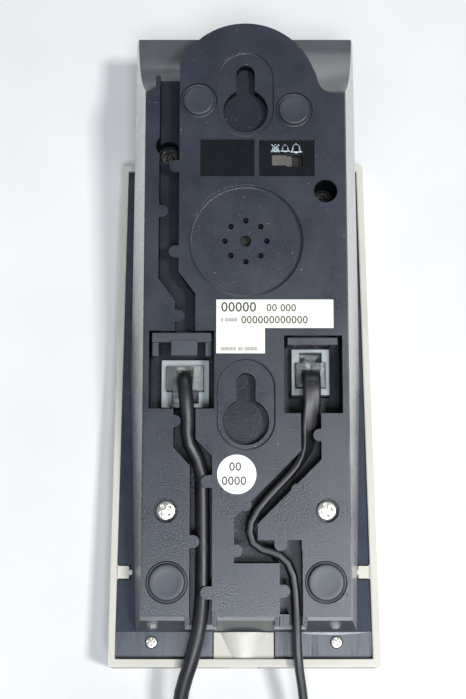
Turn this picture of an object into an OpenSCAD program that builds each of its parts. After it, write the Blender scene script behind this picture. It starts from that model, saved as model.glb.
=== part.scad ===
// Corded wall telephone seen from behind: a moulded back plate and flared tub (the base), with the
// handset resting on the front of it. Millimetres. +Z is up, the front faces -Y, the back plate's
// rear face is the plane Y = 0, and the origin is midway between the two keyholes.

/* [Back plate] */
// Width of the plate
plate_w = 52.5; // [45:0.5:60]
// Thickness of the plate's skin
skin = 2.2; // [1.5:0.1:3]
// Bottom edge below the origin
plate_low = 90.4; // [80:0.1:100]
// Shoulder height above the origin
shoulder = 46.3; // [40:0.1:55]
// Radius of the domed tongue
dome_r = 19.2; // [15:0.1:24]
// Depth of the cord channels
channel_d = 6.3; // [4.5:0.1:8]

/* [Keyholes] */
// Distance between the two keyholes
key_pitch = 83; // [70:0.5:100]
// Radius of the round entry
key_r = 5.95; // [4:0.05:8]
// Width of the narrow slot
key_slot = 4.9; // [3.5:0.1:7]
// Rise of the slot's end above the round entry
key_rise = 10.2; // [6:0.1:14]

/* [Tub] */
// Outward slope of the side walls for each mm of depth
draft = 0.26; // [0.1:0.01:0.5]
// Height of the tub's top edge
tub_top = 66.8; // [60:0.1:75]
// Wall thickness
wall = 2; // [1.5:0.1:3]

/* [Handset] */
// Width of the outer shell
hs_w = 69.8; // [60:0.1:80]
// Length of the outer shell
hs_l = 140.8; // [120:0.1:160]
// Lean of the handset from the back plate
hs_lean = 9.4; // [0:0.1:15]
// Thickness of the shell's wall
hs_wall = 1.95; // [1.2:0.05:3]
// Distance between key rows
key_row = 11; // [9:0.5:13]
// Distance between key columns
key_col = 13.5; // [11:0.5:16]

/* [Cords] */
// Diameter of the round line cord
line_d = 3.8; // [3:0.1:5]
// Width of the flat handset cord
flat_w = 4.6; // [4:0.1:6]
// Thickness of the flat handset cord
flat_t = 2.3; // [1.8:0.1:3]

/* [Hidden] */
$fn = 48;
half = plate_w / 2;
kz = key_pitch / 2;
ear_s = 118;
screw_z = -64;
line_x = 15.95;
line_z = -29.6;
jack_face = 7.5;
hand_x = -17.1;
hand_z = -28.7;
// Where the surface that the phone is laid on passes, and how it leans
table_lean = 6.4;
line_coil = [41.5, -9.6, -154];
line_coil_r = 24;
flat_coil = [-41.5, -10.6, -154];
flat_coil_r = 25;
left_run = [[15.8, -37], [15.8, -47], [11.5, -51.5], [11.5, -97]];
upper_run = [[20.2, 57], [20.2, -3.2], [15.8, -9], [15.8, -20]];
right_run = [[-16.65, -38], [-16.65, -50], [0.6, -67.2]];
exit_run = [[-11.3, -74], [-11.3, -97]];
// Half-round retaining tabs: tip x, z, and the way back to the wall in degrees
tabs = [[16.8, -41.3, 0], [11.5, -56.7, 180], [11.9, -71.8, 0], [11.6, -84.5, 180],
        [20.2, 26.2, 180], [20.2, 3.1, 180], [20.4, 14, 0], [15.9, -14, 0],
        [-17.2, -44.9, 180], [-11.9, -57.7, 225], [-0.9, -63.7, 45], [0.9, -74.1, 0],
        [-8.7, -74.2, 90], [-11, -84.1, 0]];
// Centre of each foot: x, z, then its diameter, and how far the feet stand out
feet = [[12.5, 44.2, 8.2], [-12.9, 41.6, 8.2], [20.05, -81.9, 9.1], [-20.05, -81.9, 9.1]];
foot_h = 0.7;
// Centre of the line cord: x, y, z
line_route = [[15.95, -8, -29.6], [15.95, -5.5, -29.7], [15.9, -3.2, -30.4], [15.8, -1.6, -32],
    [15.6, -0.9, -34.4], [15.3, -0.9, -37], [14.95, -1.5, -40.5], [15, -2.4, -44],
    [14.6, -3.2, -47], [12.6, -3.7, -50.8], [11.5, -3.8, -54.5], [11.3, -3.8, -59],
    [11.2, -3.8, -66], [11.1, -3.8, -74], [11.1, -3.7, -80], [11.2, -3.4, -86], [11.6, -2.9, -91],
    [12.4, -2.4, -96], [14, -2.9, -102], [16.2, -4.4, -109], [16.9, -6.2, -117], [15.6, -7.6, -125],
    [13.6, -8, -133], [12.1, -7.6, -141], [11.8, -6.6, -149], [11.8, -6, -154]];
// Centre of the handset cord: x, y, z, then the way its flat side is wide
flat_route = [[-17.1, -8, -28.7, 1, 0], [-17.1, -5.4, -28.8, 1, 0], [-17.1, -3.3, -29.6, 1, 0],
    [-17.1, -2.2, -31.3, 1, 0], [-17.1, -2, -33.5, 1, 0], [-17.1, -2.2, -36, 1, 0.3],
    [-16.8, -2.9, -39, 1, 1], [-16.3, -3.7, -43, 0.3, 1], [-15.6, -3.8, -48, 0, 1],
    [-13.2, -3.8, -52.6, 0, 1], [-9.4, -3.8, -56.7, 0, 1], [-5.9, -3.8, -60.4, 0, 1],
    [-2.9, -3.8, -64, 0, 1], [-1.2, -3.8, -67, 0, 1], [-0.9, -3.8, -69.6, 0, 1],
    [-1.8, -3.8, -72.3, 0, 1], [-4.2, -3.8, -73.9, 0, 1], [-6.6, -3.8, -74.5, 0, 1],
    [-8.7, -3.8, -75.4, 0, 1], [-10.6, -3.8, -77.3, 0, 1], [-11.9, -3.8, -80.4, 0, 1],
    [-12.4, -3.8, -84, 0, 1], [-12.6, -3.7, -88, 0, 1], [-12.8, -3.5, -93, 0, 1],
    [-12.9, -3.6, -98, 0, 1], [-13.4, -4.3, -104, 0, 1],
    [-14.4, -5.8, -111, 0, 1], [-14.6, -7.6, -119, 0, 1], [-13.8, -8.8, -127, 0, 1],
    [-12.3, -9, -135, 0, 1], [-11, -8.8, -143, 0, 1], [-10.7, -8.5, -149, 0, 1],
    [-10.7, -8.3, -154, 0, 1]];
// Tails that leave each coil for the plug at its far end
line_tail = [[28.5, -8, -167], [32, -8.6, -171.4], [35.6, -8.8, -177], [39.8, -8.8, -183],
    [45.4, -8.4, -187.6], [51.5, -8, -190.3], [57, -7.7, -191], [61, -7.6, -191]];
flat_tail = [[-27, -8.9, -168.6, 0, 1], [-31, -8.8, -173, 0, 1], [-35.4, -8.8, -178.6, 0.3, 1],
    [-40.2, -8.8, -184, 0.5, 0.5], [-45.6, -8.4, -188, 0.5, 0.2],
    [-51.5, -8, -190.7, 0.2, 0], [-57, -7.7, -191, 0, 0], [-61, -7.6, -191, 0, 0]];

function unit(v) = v / max(norm(v), 0.0001);
function place(p) = [p[0], p[1], p[2]];
function heading(r, i) = unit(place(r[min(i + 1, len(r) - 1)]) - place(r[max(i - 1, 0)]));
// The side direction of one ring, square to the cord's heading
function side_of(r, i) = let (t = heading(r, i),
    w = len(r[i]) > 3 ? [r[i][3], r[i][4], 0.01 + (r[i][3] + r[i][4] < 0.8 ? 1 : 0)]
        : [1, 0.01, 0.2]) unit(w - (w * t) * t);
function ring(r, i, a, b, n) = let (u = side_of(r, i), v = cross(heading(r, i), u))
    [for (k = [0 : n - 1]) place(r[i]) + a / 2 * cos(k * 360 / n) * u + b / 2 * sin(k * 360 / n) * v];

// A tube of width a and thickness b with n sides along the points of r
module tube(r, a, b, n = 8) {
    m = len(r);
    polyhedron(points = [for (i = [0 : m - 1]) each ring(r, i, a, b, n)],
        faces = concat([[for (k = [0 : n - 1]) n - 1 - k]],
            [[for (k = [0 : n - 1]) (m - 1) * n + k]],
            [for (i = [0 : m - 2], k = [0 : n - 1]) let (j = (k + 1) % n)
                [i * n + k, i * n + j, (i + 1) * n + j, (i + 1) * n + k]]));
}

// A drawing in X and Z, extruded away from the viewer behind the plate, from depth d to d + h
module deep(d, h) translate([0, -d, 0]) rotate([90, 0, 0]) linear_extrude(height = h) children();
// A round hole or pin along the depth
module bore(x, z, d, h, dia) translate([x, -d, z]) rotate([90, 0, 0]) cylinder(d = dia, h = h);
// A drawing in Y and Z, extruded both ways along X
module side(w) rotate([90, 0, 90]) linear_extrude(height = w, center = true) children();
// A block between x1 and x2, z1 and z2, from depth d to d + h
module block(x1, x2, z1, z2, d, h) translate([x1, -d - h, z1]) cube([x2 - x1, h, z2 - z1]);
// The handset's own frame: its rim lies in Y = 0 and its length runs up from the bottom rim
module handset() translate([0.6, -6.6, -103.4]) rotate([hs_lean, 0, 0]) children();

// A run of channel w wide through the points of r, with mitred corners
function way(r, i) = unit(r[min(i + 1, len(r) - 1)] - r[min(i, len(r) - 2)]);
function left_of(v) = [-v[1], v[0]];
function mitre(r, i, w) = let (a = left_of(way(r, max(i - 1, 0))), b = left_of(way(r, i)))
    r[i] + w / 2 * (a + b) / (1 + a * b);
module run(r, w) polygon(concat([for (i = [0 : len(r) - 1]) mitre(r, i, w)],
    [for (i = [len(r) - 1 : -1 : 0]) mitre(r, i, -w)]));
// All the channels, wider by g
module channels(g) {
    run(left_run, 5.7 + g);
    run(upper_run, 5.3 + g);
    run(right_run, 5.2 + g);
    run(exit_run, 5.8 + g);
    translate([-2.9 - g / 2, -77.2 - g / 2]) square([6 + g, 11.4 + g]);
    translate([-14 - g / 2, -77.2 - g / 2]) square([17.1 + g, 5.8 + g]);
}
module tab(t) translate([t[0], t[1]]) rotate(t[2]) {
    translate([1.6, 0]) circle(d = 3.2, $fn = 32);
    translate([1.6, -1.6]) square([2.2, 3.2]);
}
module plate_outline() {
    translate([-half, -plate_low]) square([plate_w, plate_low + shoulder]);
    translate([0, 46.6]) circle(r = dome_r, $fn = 96);
    polygon([[0, 45], [half, 46.3], [26.2, 46.8], [24.6, 47.6], [22.9, 48.9], [20.9, 50.9],
        [19, 52.9], [17.2, 55], [0, 60]]);
    polygon([[0, 45], [-23.5, 46.3], [-22.2, 46.5], [-21, 47.1], [-20, 48.1], [-19.3, 49.6],
        [-18.9, 51.4], [-18.2, 53], [0, 60]]);
}
module keyhole_slot(z, d, h) deep(d, h) translate([0, z]) {
    translate([-key_slot / 2, 0]) square([key_slot, key_rise]);
    translate([0, key_rise]) circle(d = key_slot);
}
module stadium(z, w, lo, hi) {
    translate([0, z + lo + w / 2]) circle(d = w);
    translate([0, z + hi - w / 2]) circle(d = w);
    translate([-w / 2, z + lo + w / 2]) square([w, hi - lo - w]);
}

module back_plate() color([0.24, 0.26, 0.3]) {
    difference() {
        union() {
            deep(0, skin) plate_outline();
            intersection() {
                deep(skin, channel_d + 1.2 - skin) channels(2.4);
                deep(0, 20) translate([-40, -93]) square([80, 145]);
            }
            for (z = [-kz, kz]) deep(skin, 3.2) stadium(z, 14, -7.2, 14.2);
            for (x = [-1, 1]) bore(x * 20.45, screw_z, skin, 5, 8);
            bore(-21.05, 19.4, skin, 10.4, 8.6);
            bore(20.7, 31.8, skin, 10.4, 8.6);
            block(6.8, 26.1, -39.4, -16.4, skin, 9);
            block(-26.1, -8.6, -40.6, -17.7, skin, 9);
        }
        difference() {
            deep(-1, channel_d + 1) channels(0);
            deep(-1, 2.3) for (t = tabs) tab(t);
        }
        for (z = [-kz, kz]) {
            deep(-1, 1.5) stadium(z, 15, -7.2, 16.2);
            bore(0, z, -1, 5, 2 * key_r);
            keyhole_slot(z, -1, 5);
        }
        for (p = feet) bore(p[0], p[1], -1, 1.8, p[2] + 1.6);
        for (x = [-1, 1]) {
            bore(x * 20.45, screw_z, -1, 2.6, 6.2);
            bore(x * 20.45, screw_z, 1, 8, 2.6);
        }
        for (p = [[-21.05, 19.4], [20.7, 31.8]]) {
            bore(p[0], p[1], -1, 11.6, 6.2);
            bore(p[0], p[1], 9, 5, 2.6);
        }
        bore(0, 6, -1, 1.6, 30);
        bore(0, 6, -1, 4, 2.9);
        for (a = [0 : 45 : 315]) bore(5.5 * sin(a), 6 + 5.5 * cos(a), -1, 4, 1.5);
        block(-2.3, 12.1, 23.4, 33.8, -1, 1.7);
        block(-18.2, -3.5, 23.4, 33.6, -1, 1.7);
        block(-15.25, -6.85, 26.2, 29.5, -1, 4);
        block(8.2, 25.1, -38.1, -17.8, -1, 11);
        block(-24.9, -9.8, -39.3, -19.1, -1, 11);
        block(9.4, 22.6, -37.6, -24.2, 9, 4);
        block(-22.3, -11.4, -34.4, -21.4, 9, 4);
    }
    block(-10.8, -8.5, -93, -89.9, 1.6, channel_d - 1.4);
}

module jack_clips() color([0.17, 0.18, 0.21]) {
    block(9, 24.4, -20.6, -18.2, 1.6, 1.6);
    block(12.6, 19.4, -24.1, -20.2, 1, 1.4);
    block(-23.8, -10.8, -21.3, -19.5, 1.6, 1.4);
    for (x = [9, 22.8]) block(x, x + 1.6, -24, -18.2, 3.2, 6.8);
    for (x = [-23.8, -12.4]) block(x, x + 1.6, -21.2, -19.5, 3, 7);
}

// The tub's outer form, or with t its cavity: a side profile crossed with flaring side walls
module tub_body(t) intersection() {
    side(80) difference() {
        polygon([[-skin + t, 70 - t], [-skin + t, -91.5 + t], [-8.36 + t * 0.75, -94.6 + t * 1.5],
            [-19.55 + t, -26.9], [-15.8 + t, tub_top - t], [-10, tub_top - t]]);
        translate([10.7, 67.8]) circle(r = 24 + t, $fn = 120);
    }
    translate([0, 0, -120]) linear_extrude(height = 240)
        polygon([[half - t, 0], [half + draft * 26 - t, -26], [-half - draft * 26 + t, -26],
            [-half + t, 0]]);
}
module base_tub() color([0.62, 0.62, 0.6]) difference() {
    union() {
        difference() {
            tub_body(0);
            tub_body(wall);
        }
        intersection() {
            tub_body(0);
            handset() translate([-26.4, -0.4, 22]) cube([51.6, 3.6, 60]);
        }
        for (x = [-1, 1]) bore(x * 20.45, screw_z, 7.2, 3.6, 7);
        intersection() {
            tub_body(0);
            for (p = [[-21.05, 19.4], [20.7, 31.8]]) bore(p[0], p[1], 12.6, 6, 7);
        }
    }
    handset() translate([-24.4, -3, 24]) cube([47.6, 5, 56]);
    deep(0, channel_d + 1.3) channels(2.5);
    deep(-1, skin + 1) plate_outline();
    deep(0, 5.6) stadium(kz, 14.4, -7.4, 14.4);
    block(6.7, 26.2, -39.5, -16.3, 0, 11.3);
    block(-26.2, -8.5, -40.7, -17.6, 0, 11.3);
    for (p = [[-21.05, 19.4], [20.7, 31.8]]) bore(p[0], p[1], 0, 12.6, 8.8);
    translate([-4.4, -22, -17]) cube([8.8, 8, 6.8]);
    for (x = [-1, 1]) bore(x * 20.45, screw_z, 7, 2.6, 2.2);
    for (p = [[-21.05, 19.4], [20.7, 31.8]]) bore(p[0], p[1], 12, 4.2, 2.2);
}

module rubber_feet() color([0.16, 0.17, 0.19]) for (p = feet) {
    bore(p[0], p[1], -foot_h, foot_h + 0.8, p[2]);
    bore(p[0], p[1], 0.4, 0.4, p[2] + 1.4);
}

// A pan head with a cross recess, its shank running forward
module screw(x, z, d, head, shank, l) difference() {
    union() {
        bore(x, z, d, 1.3, head);
        bore(x, z, d + 1.3, l, shank);
    }
    for (a = [0, 90]) translate([x, -d + 0.01, z]) rotate([90, a + 20, 0])
        translate([-head * 0.3, -0.3, 0]) cube([head * 0.6, 0.6, 0.8]);
}
module plate_screws() color([0.7, 0.7, 0.68]) for (x = [-1, 1])
    screw(x * 20.45, screw_z, 0.3, 4.95, 2, 7.4);
module deep_screws() color([0.6, 0.6, 0.58])
    for (p = [[-21.05, 19.4], [20.7, 31.8]]) screw(p[0], p[1], 9.3, 5, 2, 5);

// A jack housing with an open face, a latch notch and its way of insertion along the depth
module jack(x, z, w, h, ow, oh, oz, nw, nz, back) difference() {
    block(x - w / 2, x + w / 2, z - h / 2, z + h / 2, jack_face, back);
    block(x - ow / 2, x + ow / 2, z + oz - oh / 2, z + oz + oh / 2, jack_face - 1, back - 0.2);
    block(x - nw / 2, x + nw / 2, min(z, z + nz), max(z, z + nz), jack_face - 1, back - 0.2);
}
module line_jack() color([0.62, 0.66, 0.65])
    jack(line_x, line_z - 1.3, 12.6, 12.6, 9.9, 6.8, 1.3, 7, -5.2, 6.4);
module handset_jack() color([0.55, 0.58, 0.58])
    jack(hand_x, hand_z + 0.9, 10, 12.2, 8.1, 6.8, -0.9, 5.9, 5.2, 6.4);

module jack_contacts() color([0.85, 0.68, 0.3]) {
    for (i = [-2.5 : 2.5]) block(line_x + i * 1.02 - 0.2, line_x + i * 1.02 + 0.2, line_z + 0.9,
        line_z + 2, 11.9, 0.7);
    for (i = [-1.5 : 1.5]) block(hand_x + i * 1.02 - 0.2, hand_x + i * 1.02 + 0.2, hand_z - 1.9,
        hand_z - 0.8, 11.9, 0.7);
}

// A modular plug that points forward from depth d, its latch on the side given by up
module plug(x, z, d, w, up, cord_w, cord_t) difference() {
    union() {
        block(x - w / 2, x + w / 2, z - 3.2, z + 3.2, d, 6);
        block(x - 1.6, x + 1.6, min(z + up * 3.3, z + up * 4.9), max(z + up * 3.3, z + up * 4.9),
            d - 1.2, 5.4);
        block(x - 1.6, x + 1.6, min(z, z + up * 4.9), max(z, z + up * 4.9), d + 4.2, 1.2);
    }
    block(x - cord_w / 2, x + cord_w / 2, z - cord_t / 2, z + cord_t / 2, d - 1, 3.2);
}
module line_plug() color([0.82, 0.86, 0.86]) plug(line_x, line_z, 5.8, 9.6, -1, 4.4, 4.2);
module handset_plug() color([0.82, 0.86, 0.86]) plug(hand_x, hand_z, 5.8, 7.7, 1, 5, 2.8);

module line_cord() color([0.05, 0.05, 0.06]) {
    tube(line_route, line_d, line_d);
    tube(line_tail, line_d, line_d);
}
module handset_cord() color([0.05, 0.05, 0.06]) {
    tube(flat_route, flat_w, flat_t);
    tube(flat_tail, flat_w, flat_t);
}
// The turns of a cord laid up in a ring, deep across the ring and high along its axis
module coil(at, r, deep, high) translate(at) rotate([90 + table_lean, 0, 0])
    rotate_extrude($fn = 64) translate([r - deep / 2, -high / 2]) square([deep, high]);
module line_cord_coil() color([0.05, 0.05, 0.06]) coil(line_coil, line_coil_r, 15.2, 11.4);
module handset_cord_coil() color([0.05, 0.05, 0.06]) coil(flat_coil, flat_coil_r, 13.8, 9.2);
module tie(at, r, deep, high, a) translate(at) rotate([90 + table_lean, 0, 0]) rotate(a)
    translate([r, 0, 0]) difference() {
        cube([deep + 1.6, 2.6, high + 1.6], center = true);
        cube([deep, 3, high], center = true);
    }
module cord_ties() color([0.08, 0.08, 0.08]) for (a = [20, 130]) {
    tie(line_coil, line_coil_r, 15.2, 11.4, a);
    tie(flat_coil, flat_coil_r, 13.8, 9.2, 180 - a);
}

// A loose modular plug at the end of a cord, pointing along X
module end_plug(x, w) translate([x, -7.6, -191]) difference() {
    union() {
        translate([0, -3.2, -w / 2]) cube([12, 6.4, w]);
        translate([4, 3.2, -1.6]) cube([8.4, 1.7, 3.2]);
    }
    translate([-1, -2.1, -2.5]) cube([5.2, 4.2, 5]);
}
module line_end_plug() color([0.82, 0.86, 0.86]) end_plug(59.5, 9.6);
module handset_end_plug() color([0.82, 0.86, 0.86]) mirror([1, 0, 0]) end_plug(59.5, 7.7);

module serial_label() color([0.9, 0.9, 0.84]) deep(-0.15, 0.15) polygon([[7.7, -9.7], [7.7, -23.8],
    [-4.9, -23.8], [-4.9, -17.2], [-22.7, -17.2], [-22.7, -9.7]]);
module inspection_sticker() color([0.93, 0.93, 0.9]) bore(2.4, -54.9, -0.15, 0.15, 10);

module switch_body() color([0.12, 0.12, 0.13]) block(-17, -5, 23.6, 32, 3.6, 4.6);
module volume_slider() color([0.1, 0.1, 0.11]) {
    block(-10.8, -6.9, 26.5, 29.2, 0.3, 2.6);
    block(-12.3, -5.9, 25.4, 30.3, 2.45, 0.85);
}
module ringer() color([0.3, 0.3, 0.28]) difference() {
    bore(0, 6, skin, 5.4, 24);
    bore(0, 6, skin - 0.1, 1.3, 20);
}
module circuit_board() color([0.12, 0.4, 0.22]) difference() {
    block(-22, 22, -9, 40, 12.9, 1.5);
    block(15.5, 24, 27, 37, 12, 3);
    block(-24, -15.8, 14, 24.6, 12, 3);
    block(-5, 5, -10, -8, 12, 3);
}
module hook_plunger() color([0.62, 0.62, 0.6]) {
    translate([-4, -20.3, -16.6]) cube([8, 8.6, 6]);
    translate([-5.4, -12.8, -18]) cube([10.8, 1.2, 8.8]);
}

module handset_profile(t) polygon([[t, t], [t, hs_l - t], [-5.2 + t, hs_l - t],
    [-6.8 + t, hs_l - 4], [-13.6 + t, 7], [-12.4 + t, t]]);
module handset_shell() color([0.9, 0.88, 0.8]) handset() {
    difference() {
        side(hs_w) handset_profile(0);
        side(hs_w - 2 * hs_wall) polygon([[1, hs_wall], [1, hs_l - hs_wall],
            [-3.4, hs_l - hs_wall], [-4.9, hs_l - 4.6], [-11.7, 7.6], [-10.8, hs_wall]]);
        translate([-4, -10.4, -1]) cube([8, 6.6, 4]);
    }
    for (x = [-1, 1]) translate([x * 31.4, 0, 23.9]) {
        translate([-1.6, -2.9, -1.65]) cube([3.2, 2.4, 3.3]);
        translate([x > 0 ? -2.4 : 1, -2.2, -0.7]) cube([1.4, 1.7, 1.4]);
    }
}
module handset_liner() color([0.22, 0.23, 0.26]) handset() difference() {
    union() {
        translate([-32.9, -2.4, 8.7]) cube([65.8, 1.6, 130.1]);
        for (x = [-1, 1]) {
            translate([x * 32.1, -2.4, 70]) translate([-0.8, -1.6, -61]) cube([1.6, 1.8, 128]);
            translate([x * 20.45, 0, 0]) side(24.9)
                polygon([[-0.8, 8.8], [-1.9, 2.1], [-3.4, 2.1], [-2.4, 8.8]]);
        }
        translate([0, -2, ear_s]) rotate([-90, 0, 0]) cylinder(d = 38, h = 5.4, $fn = 64);
    }
    translate([0, -3, ear_s]) rotate([-90, 0, 0]) cylinder(d = 34, h = 4.9, $fn = 64);
    for (a = [0 : 60 : 300]) translate([5 * cos(a), 1, ear_s + 5 * sin(a)]) rotate([-90, 0, 0])
        cylinder(d = 1.8, h = 5, $fn = 24);
    translate([0, 1, ear_s]) rotate([-90, 0, 0]) cylinder(d = 1.8, h = 5, $fn = 24);
    for (x = [-1, 1]) {
        translate([x * 31.5 - 2.1, -3, 22]) cube([4.2, 4, 3.8]);
        translate([x * 23.8, -4, 6.2]) rotate([-90, 0, 0]) cylinder(d = 3.2, h = 4, $fn = 32);
    }
    for (i = [-1 : 1], j = [0 : 4]) translate([i * key_col - 4.3, -3, 26.5 + j * key_row])
        cube([8.6, 4, 7]);
    translate([0, -4, 14]) rotate([-90, 0, 0]) cylinder(d = 1.6, h = 5, $fn = 24);
}
module socket_cover() color([0.9, 0.88, 0.8]) handset() intersection() {
    union() {
        translate([-7.7, -3.4, 2]) cube([15.4, 1.9, 6.6]);
        translate([0, -3.6, 2]) scale([1, 0.62, 1]) cylinder(r1 = 4.3, r2 = 6.9, h = 6.6);
    }
    translate([-7.7, -3.4, 2]) cube([15.4, 10, 6.6]);
}
module shell_screws() color([0.75, 0.75, 0.73]) handset() for (x = [-1, 1]) {
    difference() {
        translate([x * 23.8, -2.4, 6.2]) rotate([-90, 0, 0]) cylinder(d = 2.9, h = 1.5, $fn = 32);
        for (a = [0, 90]) translate([x * 23.8, -0.85, 6.2]) rotate([90, a + 8, 0])
            translate([-0.9, -0.25, 0]) cube([1.8, 0.5, 0.6]);
    }
    translate([x * 23.8, -7.4, 6.2]) rotate([-90, 0, 0]) cylinder(d = 1.5, h = 5.2, $fn = 24);
}
module earpiece() color([0.2, 0.2, 0.22]) handset() translate([0, -1.9, ear_s]) rotate([-90, 0, 0])
    cylinder(d = 30, h = 3.6, $fn = 64);
module microphone() color([0.6, 0.6, 0.6]) handset() translate([0, -6.2, 14]) rotate([-90, 0, 0])
    cylinder(d = 6, h = 3.4, $fn = 32);
module handset_board() color([0.12, 0.4, 0.22]) handset() translate([-24, -6.9, 19])
    cube([48, 1.4, 62]);
module keypad_mat() color([0.75, 0.75, 0.72]) handset() translate([-22, -5.4, 24])
    cube([44, 0.7, 57]);
module handset_socket() color([0.2, 0.2, 0.22]) handset() difference() {
    translate([-5, -10.6, 2.1]) cube([10, 6.9, 8.9]);
    translate([-4, -10.1, 1]) cube([8, 5.9, 8.6]);
}
// One key: column -1 to 1, row 0 to 4 from the bottom
module key(i, j) color([0.85, 0.84, 0.78]) handset()
    translate([i * key_col - 4, -3.4, 26.8 + j * key_row]) cube([8, 4.8, 6.4]);

back_plate();
jack_clips();
base_tub();
rubber_feet();
plate_screws();
deep_screws();
line_jack();
handset_jack();
jack_contacts();
line_plug();
handset_plug();
line_cord();
line_cord_coil();
line_end_plug();
handset_cord();
handset_cord_coil();
handset_end_plug();
cord_ties();
serial_label();
inspection_sticker();
switch_body();
volume_slider();
ringer();
circuit_board();
hook_plunger();
handset_shell();
handset_liner();
socket_cover();
shell_screws();
earpiece();
microphone();
handset_board();
keypad_mat();
handset_socket();
key(1, 0);  // key_star
key(0, 0);  // key_0
key(-1, 0);  // key_hash
key(1, 1);  // key_7
key(0, 1);  // key_8
key(-1, 1);  // key_9
key(1, 2);  // key_4
key(0, 2);  // key_5
key(-1, 2);  // key_6
key(1, 3);  // key_1
key(0, 3);  // key_2
key(-1, 3);  // key_3
key(1, 4);  // key_flash
key(0, 4);  // key_redial
key(-1, 4);  // key_mute
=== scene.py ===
"""Looks for the corded wall telephone, seen from behind: cords, clear plugs, labels, screws, feet and
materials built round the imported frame. Metres. +Z is up, the front faces -Y, and the back plate's rear face
is Y = 0."""
import math
import random

import bmesh
import bpy
from mathutils import Matrix, Vector


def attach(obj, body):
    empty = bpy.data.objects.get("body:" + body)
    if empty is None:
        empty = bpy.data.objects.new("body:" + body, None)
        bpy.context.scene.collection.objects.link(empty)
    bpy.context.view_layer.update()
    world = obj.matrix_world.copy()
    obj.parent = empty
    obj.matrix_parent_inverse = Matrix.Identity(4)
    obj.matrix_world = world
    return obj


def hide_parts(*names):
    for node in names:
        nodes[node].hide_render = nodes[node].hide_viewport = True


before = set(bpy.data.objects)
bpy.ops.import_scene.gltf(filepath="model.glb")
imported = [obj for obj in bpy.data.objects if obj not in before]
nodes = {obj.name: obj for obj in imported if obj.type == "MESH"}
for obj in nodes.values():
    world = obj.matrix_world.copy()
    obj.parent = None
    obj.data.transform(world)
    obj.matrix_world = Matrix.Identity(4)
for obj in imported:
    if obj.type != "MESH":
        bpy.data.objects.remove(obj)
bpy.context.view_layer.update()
scene = bpy.context.scene
scene.view_settings.view_transform = "Standard"

# ---------------------------------------------------------------- places and sizes, in millimetres
MM = 0.001
CAMERA_AT = (3.36, 297.1, -64.6)
CAMERA_AIM = (3.36, 0, -22.8)
SENSOR = 36
LENS = 59.794
LINE_JACK_X, LINE_JACK_Z = 15.95, -29.6
HAND_JACK_X, HAND_JACK_Z = -17.1, -28.7
PLUG_DEEP = 5.8  # how far a plug's cord end lies inside the plate's rear face
END_PLUG_X, END_PLUG_Y, END_PLUG_Z = 59.5, -7.6, -191
SIX_WAYS = dict(w=9.6, ways=6, mouth_w=4.4, mouth_h=4.2)  # the line plug, with the opening for a round cord
FOUR_WAYS = dict(w=7.7, ways=4, mouth_w=5, mouth_h=2.8)  # the handset plug, with the opening for a flat cord
LINE_D = 3.8
FLAT_W, FLAT_T = 4.6, 2.3
COIL_LEAN = 6.4  # degrees
LINE_COIL, LINE_COIL_R = (41.5, -9.6, -154), 24
FLAT_COIL, FLAT_COIL_R = (-41.5, -10.6, -154), 25
CORD_STEP = 3  # between two rings of a cord's mesh
GRILLE_Z, GRILLE_R = 6, 15
KEYHOLE_Z, KEYHOLE_HALF = 41.5, 7.5
KEYHOLE_LOW, KEYHOLE_HIGH = 0.3, 8.7  # the ends of the line that a keyhole's rim runs round, from its own Z
PLATE_SCREW_X, PLATE_SCREW_Z = 20.45, -64
DEEP_SCREWS = ((-21.05, 19.4), (20.7, 31.8))
SHELL_SCREW_X, SHELL_SCREW_Z = 23.8, 6.2
# Each foot's X, Z and width.
FEET = ((12.5, 44.2, 8.2), (-12.9, 41.6, 8.2), (20.05, -81.9, 9.1), (-20.05, -81.9, 9.1))
HANDSET_AT, HANDSET_LEAN = (0.6, -6.6, -103.4), 9.4
KEY_COLUMN, KEY_ROW, FIRST_KEY_ROW = 13.5, 11, 30
FILM_BACK, FILM_FRONT = -0.64, -0.7  # the two faces of a window's film
# The table's middle in Y and Z, how much it leans, and half its size.
TABLE_AT, TABLE_SLOPE, TABLE_HALF = (-21.5, -98.7), 0.1122, 3000


def mm(*p):
    """A point given in millimetres, in metres."""
    return Vector(p) * MM


def link(obj):
    scene.collection.objects.link(obj)
    return obj


def mesh_object(name, bm, material, smooth=True):
    """A new object made of bm, in metres."""
    mesh = bpy.data.meshes.new(name)
    bm.normal_update()
    bm.to_mesh(mesh)
    bm.free()
    for p in mesh.polygons:
        p.use_smooth = smooth
    mesh.materials.append(material)
    return link(bpy.data.objects.new(name, mesh))


def bevel(obj, width, angle=35, segments=2):
    """Rounds the hard edges of obj by width millimetres."""
    m = obj.modifiers.new("round", "BEVEL")
    m.width = width * MM
    m.segments = segments
    m.limit_method = "ANGLE"
    m.angle_limit = math.radians(angle)
    m.harden_normals = True
    m.use_clamp_overlap = True
    return obj


# ---------------------------------------------------------------- camera
camera = link(bpy.data.objects.new("camera", bpy.data.cameras.new("camera")))
camera.data.sensor_width = SENSOR
camera.data.lens = LENS
camera.location = mm(*CAMERA_AT)
camera.rotation_mode = "QUATERNION"
camera.rotation_quaternion = (mm(*CAMERA_AIM) - camera.location).to_track_quat("-Z", "Y")
camera.data.clip_start, camera.data.clip_end = 0.01, 10
scene.camera = camera

# ---------------------------------------------------------------- materials
BLACK, WHITE = (0, 0, 0), (1, 1, 1)


def grey(value):
    return (value,) * 3


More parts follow.
